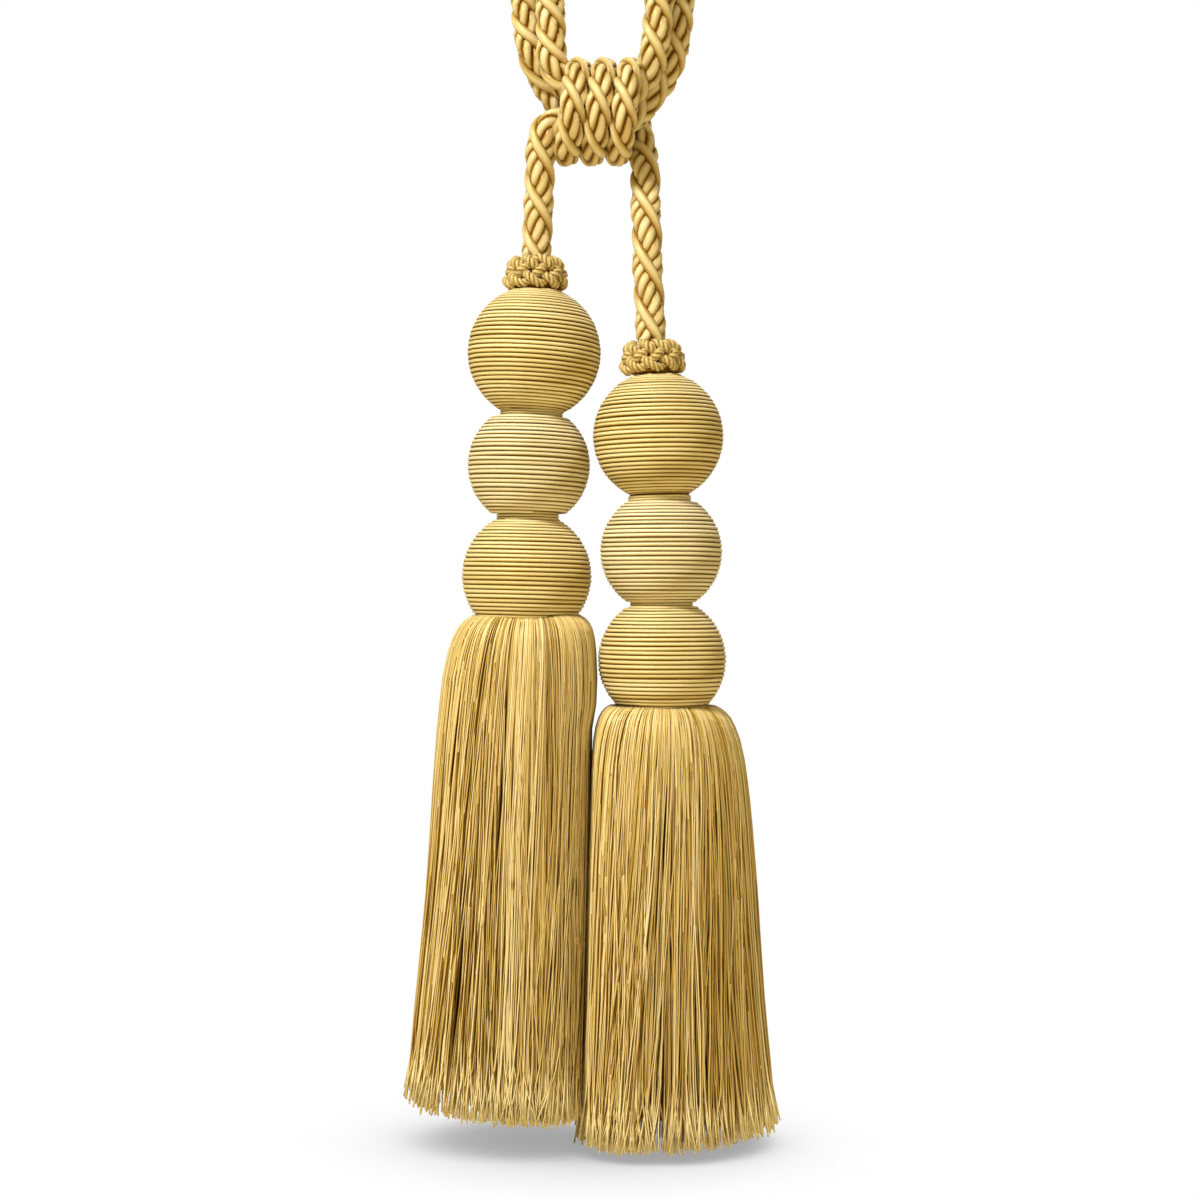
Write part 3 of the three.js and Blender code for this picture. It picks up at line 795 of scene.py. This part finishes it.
# Skirts: loose yarns that hang from the last ball, gathered in small uneven groups
skirtLook = {
    # distance of the outer surface from the axis at each drop, mm
    "drops": [0, 1, 2, 4, 8, 12, 20, 35, 55, 75, 95, 110, 135, 165],
    "reaches": [17.6, 19.6, 20.9, 22.7, 24.7, 26.0, 27.6, 29.2, 30.6, 31.8, 33.2, 34.6, 37.0, 39.6],
    "depthShare": 0.84,    # the depth as a share of the width
    "flatness": 3.2,       # how square the pressed side is, from 2 for a round one
    "clearance": 0.1,      # between the two skirts, mm
    # How many yarns hang outside, how many more stray from there and how many hang behind
    "outerYarns": 1150, "stray": 40, "innerYarns": 420,
    "outerStations": 24, "innerStations": 12,
    "shoulder": [0.0, 0.006, 0.014, 0.028, 0.05],    # shares of the length, close under the ball
    "shoulderEnd": 0.08,
    "yarnRadius": 0.33, "yarnSides": 3,
    "outerRing": (0.945, 1.0), "innerRing": (0.4, 0.94),    # shares of the radius they hang at
    "lengthChange": (-1.2, 1.0), "longest": 0.7,    # middle, spread and limit, mm
    "sideRise": 3.0,       # the outermost yarns end higher, mm
    "groups": 130,
    "pull": 0.38,          # how far the yarns of a group draw together at the cut end
    # How far the cut ends turn round each tassel, to the left as seen in front, mm
    "lean": {-1: 8.0, 1: -3.5},
    # How often round the skirt the yarns fan, and how far, mm
    "waves": [(2, 2.5), (5, 2.0), (9, 1.4), (15, 0.9)],
    "drift": 4.4,          # how far a yarn strays from its group at the cut end, mm
    "fanPower": 1.3,       # above 1 the yarns fan and stray mostly low down
    "bend": 0.8, "bendEvery": 9.0,     # how far a yarn bends, mm, and the stations between bends
    "kink": 0.15, "kinkEvery": 2.5,    # the same of its small bends
    "inOut": 0.9, "inOutBend": 0.25, "furthestOut": 0.7,    # in and out of the surface, mm
    "strayOut": (0.8, 1.0),
    "tipStart": 0.86,      # the tips start here, as a share of the length
    "splay": 1.9,          # how far the tips spread, mm
    "tipOut": 0.2, "tipOutShare": 0.5,
    # The inner yarns are painted dark, painted shade deep in the skirt; each yarn's sides are painted
    # darker, painted shade
    "outerTone": 0.84, "innerShadeTone": 0.05, "toneSpread": 0.22, "shade": 1.1,
    "tipTone": 0.8,        # the cut ends are paler
    # The form inside, dark as painted shade: how far it ends above the skirt's end and starts below
    # its top, mm
    "formShort": 14, "formTop": 0.5,
    "formShare": 0.6,      # of the skirt's radius
    "formRings": 12, "formSides": 36, "formShadeTone": 0.25,
}
# The skirts press each other along this line. Drops below the middle of the knot
contactLook = {
    "drops": [165, 195, 206, 300, 342], "places": [-0.2, -0.7, -3.0, -5.0, -6.2],
    "turnIn": 9.0,    # how tightly the round side turns into the pressed one
}


def skirtRadius(ball, drop, angle):
    look = skirtLook
    reach = np.interp(drop, look["drops"], look["reaches"])
    depth = reach * look["depthShare"]
    place = np.interp(ball["drop"] + ball["below"] + drop, contactLook["drops"], contactLook["places"])
    contact = np.abs(place - ball["x"]) - look["clearance"]
    pressed = np.cos(angle) < 0
    bend = contactLook["turnIn"]
    meeting = (reach ** -bend + contact ** -bend) ** (-1 / bend)
    width = np.where(pressed, meeting, reach)
    power = np.where(pressed, look["flatness"], 2.0)
    along = np.abs(np.cos(angle)) / width
    across = np.abs(np.sin(angle)) / depth
    return (along ** power + across ** power) ** (-1 / power)


def skirtPoints(tassel, drop, radius, around):
    # Places in a skirt. drop: below its top, mm. around: 0 points away from the other tassel
    ball = tassel["balls"][-1]
    top = ball["drop"] + ball["below"]
    return np.stack([
        ball["x"] + tassel["outward"] * radius * np.cos(around),
        ball["y"] + radius * np.sin(around),
        np.broadcast_to(-knotDrop - top - drop, np.shape(around)),
    ], axis=1)


def makeSkirt(name, tassel):
    look = skirtLook
    ball = tassel["balls"][-1]
    outward = tassel["outward"]
    bundle = Bundle()
    groupAt = np.sort(rng.uniform(0, 2 * np.pi, look["groups"]))
    groupPull = rng.uniform(0.0, look["pull"], look["groups"])
    waves = [(often, rng.uniform(0, 2 * np.pi), far) for often, far in look["waves"]]
    outerCount = look["outerYarns"] + look["stray"]
    shoulder = np.array(look["shoulder"])
    for i in range(outerCount + look["innerYarns"]):
        outer = i < outerCount
        stray = i < look["stray"]
        stations = look["outerStations"] if outer else look["innerStations"]
        hanging = np.linspace(look["shoulderEnd"], 1, stations - len(shoulder))
        share = np.concatenate([shoulder, hanging])
        angle = rng.uniform(0, 2 * np.pi)
        rise = look["sideRise"] * max(0.0, math.cos(angle)) ** 2
        change = min(rng.normal(*look["lengthChange"]), look["longest"])
        drop = share * (change + tassel["skirtLength"] - rise)
        ring = rng.uniform(*look["outerRing" if outer else "innerRing"])
        group = int(np.argmin(np.abs(np.angle(np.exp(1j * (groupAt - angle))))))
        gap = float(np.angle(np.exp(1j * (groupAt[group] - angle))))
        middle = skirtRadius(ball, drop, np.full(stations, angle))
        # The yarns of a group draw together from a little below the ball down
        pull = groupPull[group] * np.clip(share * 1.5 - 0.1, 0, 1)
        fan = share ** look["fanPower"]
        sway = sum(far * math.sin(often * angle + start) for often, start, far in waves) * fan
        tip = np.clip((share - look["tipStart"]) / (1 - look["tipStart"]), 0, 1) ** 1.5
        sideways = (
            sway
            + look["lean"][outward] * share
            + rng.normal(0, look["drift"]) * fan
            + wander(stations, look["bendEvery"], look["bend"]) * np.clip(share * 2, 0, 1)
            + wander(stations, look["kinkEvery"], 1.0) * look["kink"] * (0.2 + share)
            + rng.normal(0, look["splay"]) * tip
        )
        around = angle + gap * pull + sideways / middle
        inOut = rng.normal(0, look["inOut"]) * share
        inOut = inOut + wander(stations, look["bendEvery"], look["inOutBend"]) * share
        inOut = np.minimum(inOut, look["furthestOut"])
        inOut = inOut + rng.normal(look["tipOut"], look["splay"] * look["tipOutShare"]) * tip
        if stray:
            inOut = inOut + abs(rng.normal(*look["strayOut"])) * share ** 4
        radius = skirtRadius(ball, drop, around) * ring + inOut * np.clip(share * 8, 0, 1)
        line = skirtPoints(tassel, drop, radius, around)
        out = np.stack([outward * np.cos(around), np.sin(around), np.zeros(stations)], axis=1)
        # The inner yarns' dark tone is painted shade
        tone = rng.normal(look["outerTone"] if outer else look["innerShadeTone"], look["toneSpread"])
        tone = tone + look["tipTone"] * tip
        sweep(bundle, line, out, look["yarnRadius"], look["yarnSides"], tone, shade=look["shade"])
    # A dark form deep inside, painted shade, so that no light shows between the yarns
    sides = look["formSides"]
    angle = 2 * np.pi * np.arange(sides) / sides
    lowest = tassel["skirtLength"] - look["formShort"]
    rings = []
    for drop in np.linspace(look["formTop"], lowest, look["formRings"]):
        radius = skirtRadius(ball, np.full(sides, drop), angle) * look["formShare"]
        rings.append(skirtPoints(tassel, drop, radius, angle))
    quads, triangles = gridFaces(len(rings), sides, flip=outward > 0)
    points = np.concatenate(rings)
    tones = np.full(len(points), look["formShadeTone"])
    bundle.add(points, quads, triangles, np.zeros((len(points), 2)), tones)
    piece = bundle.piece(name + "_yarns", fringeMaterial)
    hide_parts(name)


def makeTassel(side, tassel):
    weaveCollar("collar_" + side, tassel["collar"])
    balls = tassel["balls"]
    for i, ball in enumerate(balls):
        pale = i == 1
        windBall(
            ball["name"] + "_" + side, ball,
            paleMaterial if pale else goldMaterial,
        )
    windNeck("neck_upper_" + side, balls[0], balls[1])
    windNeck("neck_lower_" + side, balls[1], balls[2])
    makeSkirt("skirt_" + side, tassel)
    print("tassel made:", side)


for side, tassel in tassels.items():
    makeTassel(side, tassel)


# Floor and light
stageLook = {
    "floorGap": 3.0,     # below the skirts, mm
    "floorHalf": 6.0,    # from its middle to its edges, m
    "floorColor": (0.85, 0.74, 0.5, 1.0), "floorRoughness": 0.9,
    # Painted soft shadow under the skirts, darkened by ambient occlusion
    "shadowReach": 0.09, "shadowSamples": 8, "shadowTone": 0.35,
    "darkestAt": 0.1, "lightestAt": 0.85,
}
lightLook = {
    "world": 0.25, "worldColor": (1.0, 0.8, 0.38), "seenColor": (1.0, 1.0, 1.0, 1.0),
    "aimDrop": 0.16,    # the lamps point this far below the middle of the knot, m
    "key": {"at": (-0.8, -1.0, 0.85), "size": 0.35, "watts": 37.0, "color": (1.0, 0.98, 0.95)},
    "fill": {"at": (0.95, -0.9, -0.1), "size": 0.9, "watts": 3.0, "color": (1.0, 0.9, 0.7)},
    "back": {"at": (0.5, 1.2, 0.5), "size": 0.9, "watts": 5.0, "color": (1.0, 0.98, 0.95)},
}


def makeStage():
    lowest = float(cadBox[0][2]) - stageLook["floorGap"] * mm
    half = stageLook["floorHalf"]
    corners = [(-half, -half), (half, -half), (half, half), (-half, half)]
    mesh = bpy.data.meshes.new("floor")
    mesh.from_pydata([(x, y, lowest) for x, y in corners], [], [(0, 1, 2, 3)])
    floor = bpy.data.objects.new("floor", mesh)
    bpy.context.scene.collection.objects.link(floor)
    # A pale floor: camera rays see it glow evenly white, with a painted shadow where the skirts stand
    # close over it; other rays see a plain warm floor
    material, tree, shader = nodeTree("floor")
    nodes = tree.nodes
    shader.inputs["Base Color"].default_value = stageLook["floorColor"]
    shader.inputs["Roughness"].default_value = stageLook["floorRoughness"]
    near = nodes.new("ShaderNodeAmbientOcclusion")
    near.inputs["Distance"].default_value = stageLook["shadowReach"]
    near.samples = stageLook["shadowSamples"]
    tone = nodes.new("ShaderNodeMapRange")
    tone.inputs["From Min"].default_value = stageLook["darkestAt"]
    tone.inputs["From Max"].default_value = stageLook["lightestAt"]
    tone.inputs["To Min"].default_value = stageLook["shadowTone"]
    tone.inputs["To Max"].default_value = 1.0
    link(tree, near.outputs["AO"], tone.inputs["Value"])
    glow = nodes.new("ShaderNodeEmission")
    link(tree, tone.outputs["Result"], glow.inputs["Color"])
    path = nodes.new("ShaderNodeLightPath")
    mix = nodes.new("ShaderNodeMixShader")
    link(tree, path.outputs["Is Camera Ray"], mix.inputs["Fac"])
    link(tree, shader.outputs["BSDF"], mix.inputs[1])
    link(tree, glow.outputs["Emission"], mix.inputs[2])
    link(tree, mix.outputs["Shader"], nodes["Material Output"].inputs["Surface"])
    mesh.materials.append(material)


def makeLight(name, look, target):
    data = bpy.data.lights.new(name, "AREA")
    data.shape = "DISK"
    data.size = look["size"]
    data.energy = look["watts"]
    data.color = look["color"]
    lamp = bpy.data.objects.new(name, data)
    lamp.location = look["at"]
    away = np.array(look["at"]) - np.array(target)
    flat = math.hypot(away[0], away[1])
    lamp.rotation_euler = (math.atan2(flat, away[2]), 0.0, math.atan2(away[0], -away[1]))
    bpy.context.scene.collection.objects.link(lamp)


def makeLights():
    world = bpy.data.worlds.new("studio")
    bpy.context.scene.world = world
    world.use_nodes = True
    nodes = world.node_tree.nodes
    seen = nodes.new("ShaderNodeBackground")
    seen.inputs["Color"].default_value = lightLook["seenColor"]
    lit = nodes["Background"]
    lit.inputs["Color"].default_value = (*lightLook["worldColor"], 1.0)
    lit.inputs["Strength"].default_value = lightLook["world"]
    path = nodes.new("ShaderNodeLightPath")
    mix = nodes.new("ShaderNodeMixShader")
    links = world.node_tree.links
    links.new(path.outputs["Is Camera Ray"], mix.inputs["Fac"])
    links.new(lit.outputs["Background"], mix.inputs[1])
    links.new(seen.outputs["Background"], mix.inputs[2])
    links.new(mix.outputs["Shader"], nodes["World Output"].inputs["Surface"])
    target = (0.0, 0.0, -knotDrop * mm - lightLook["aimDrop"])
    for name in ("key", "fill", "back"):
        makeLight(name, lightLook[name], target)


makeStage()
makeLights()
bpy.context.scene.view_settings.view_transform = "Standard"
print("stage and lights set")
